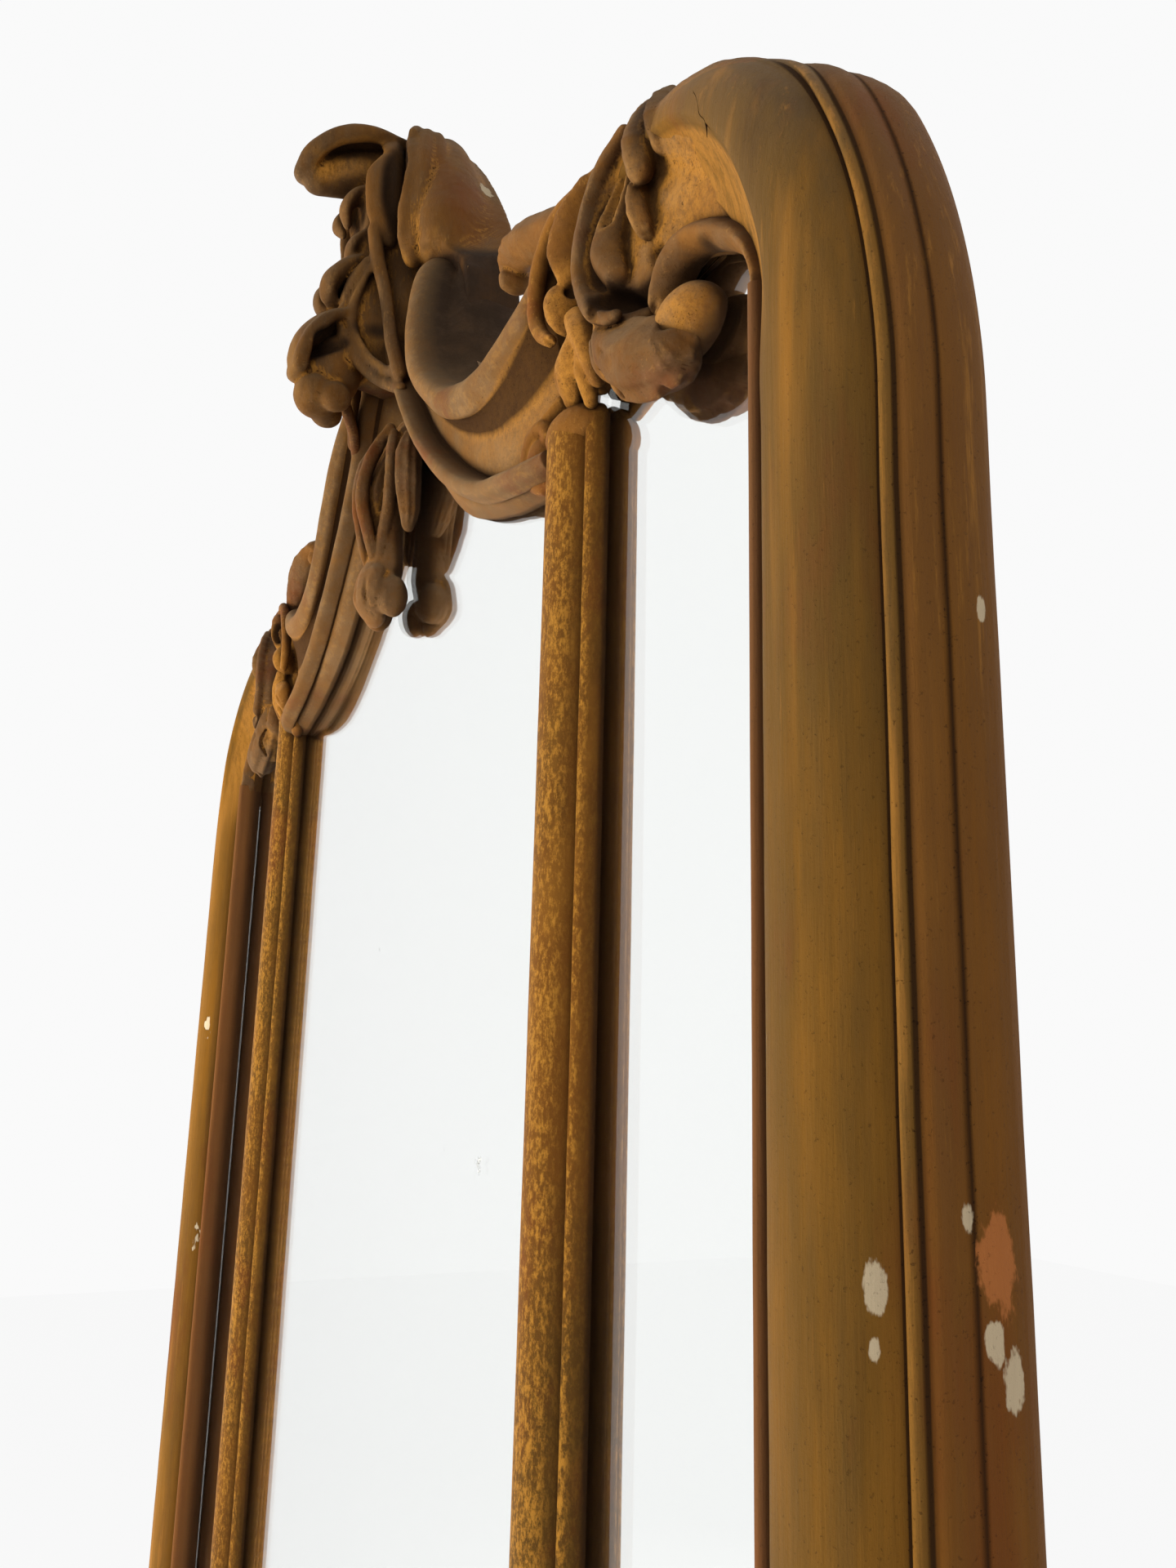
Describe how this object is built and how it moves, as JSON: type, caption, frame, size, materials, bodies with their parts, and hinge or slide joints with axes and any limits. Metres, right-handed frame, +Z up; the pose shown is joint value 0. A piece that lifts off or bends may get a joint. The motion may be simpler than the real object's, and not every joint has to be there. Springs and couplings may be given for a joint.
{
  "type": "trumeau mirror",
  "caption": "Tall gilded wall mirror with round moulded shoulders, a carved leaf crest on scroll rails, and slim bars that divide the glass.",
  "frame": {"origin": "centre of the bounding box's underside: X = 0 on the centre line, Y = 0 half way between the wall face and the tip of the crest, Z = 0 at the underside of the bottom moulding", "axes": "+Z up the height of the mirror, +X to the viewer's right, +Y towards the wall"},
  "size_m": [1.0336, 0.1278, 1.8],
  "materials": {
    "aged_gilding": "old water gilding on carved wood, dulled to ochre and brown",
    "rubbed_gilding": "old gilding on carved wood, bright where it is rubbed",
    "dusty_gilding": "old gilding on carved wood, taupe with dust and dark in the hollows",
    "pine": "bare softwood, darkened with age",
    "mirror_plate": "old silvered plate with a grey-green edge",
    "iron": "forged iron, brown with age"
  },
  "bodies": {
    "mirror": {"stile_moulding_right": "aged_gilding", "stile_moulding_left": "aged_gilding", "bottom_moulding": "aged_gilding", "shoulder_acanthus_right": "aged_gilding", "shoulder_acanthus_left": "aged_gilding", "crest_block": "aged_gilding", "crest_keel": "aged_gilding", "crest_cheek_right": "aged_gilding", "crest_cheek_left": "aged_gilding", "corner_leaf_right": "aged_gilding", "corner_leaf_left": "aged_gilding", "parclose_bar_right": "rubbed_gilding", "parclose_bar_left": "rubbed_gilding", "bar_volute_right": "rubbed_gilding", "bar_volute_left": "rubbed_gilding", "shoulder_clasp_right": "rubbed_gilding", "shoulder_clasp_left": "rubbed_gilding", "bar_foot_right": "rubbed_gilding", "bar_foot_left": "rubbed_gilding", "sight_bead_right": "dusty_gilding", "sight_bead_left": "dusty_gilding", "bottom_bead": "dusty_gilding", "top_scroll_right": "dusty_gilding", "top_scroll_left": "dusty_gilding", "rail_tip_leaf_right": "dusty_gilding", "rail_tip_leaf_left": "dusty_gilding", "crest_hood": "dusty_gilding", "crest_curl": "dusty_gilding", "crest_rib_right": "dusty_gilding", "crest_rib_left": "dusty_gilding", "crest_lobe_right": "dusty_gilding", "crest_lobe_left": "dusty_gilding", "pendant_leaf": "dusty_gilding", "bottom_shell": "dusty_gilding", "back_stile_right": "pine", "back_stile_left": "pine", "back_head_right": "pine", "back_head_left": "pine", "back_rail_bottom": "pine", "plate_batten_right": "pine", "plate_batten_left": "pine", "backboard_1": "pine", "backboard_2": "pine", "backboard_3": "pine", "backboard_4": "pine", "glass_block_low_right": "pine", "glass_block_low_left": "pine", "glass_block_high_right": "pine", "glass_block_high_left": "pine", "mirror_plate_center": "mirror_plate", "mirror_plate_side_right": "mirror_plate", "mirror_plate_side_left": "mirror_plate", "hanger_plate_right": "iron", "hanger_plate_left": "iron", "hanger_screw_inner_right": "iron", "hanger_screw_inner_left": "iron", "hanger_screw_outer_right": "iron", "hanger_screw_outer_left": "iron"},
    "ring_right": {"hanger_ring_right": "iron"},
    "ring_left": {"hanger_ring_left": "iron"}
  },
  "joints": [
    {"name": "ring_swing_right", "type": "hinge", "parent": "mirror", "child": "ring_right", "pos_m": [0.345, 0.05793, 1.473], "axis": [1, 0, 0], "range_deg": [0, 180]},
    {"name": "ring_swing_left", "type": "hinge", "parent": "mirror", "child": "ring_left", "pos_m": [-0.345, 0.05793, 1.473], "axis": [1, 0, 0], "range_deg": [0, 180]}
  ]
}
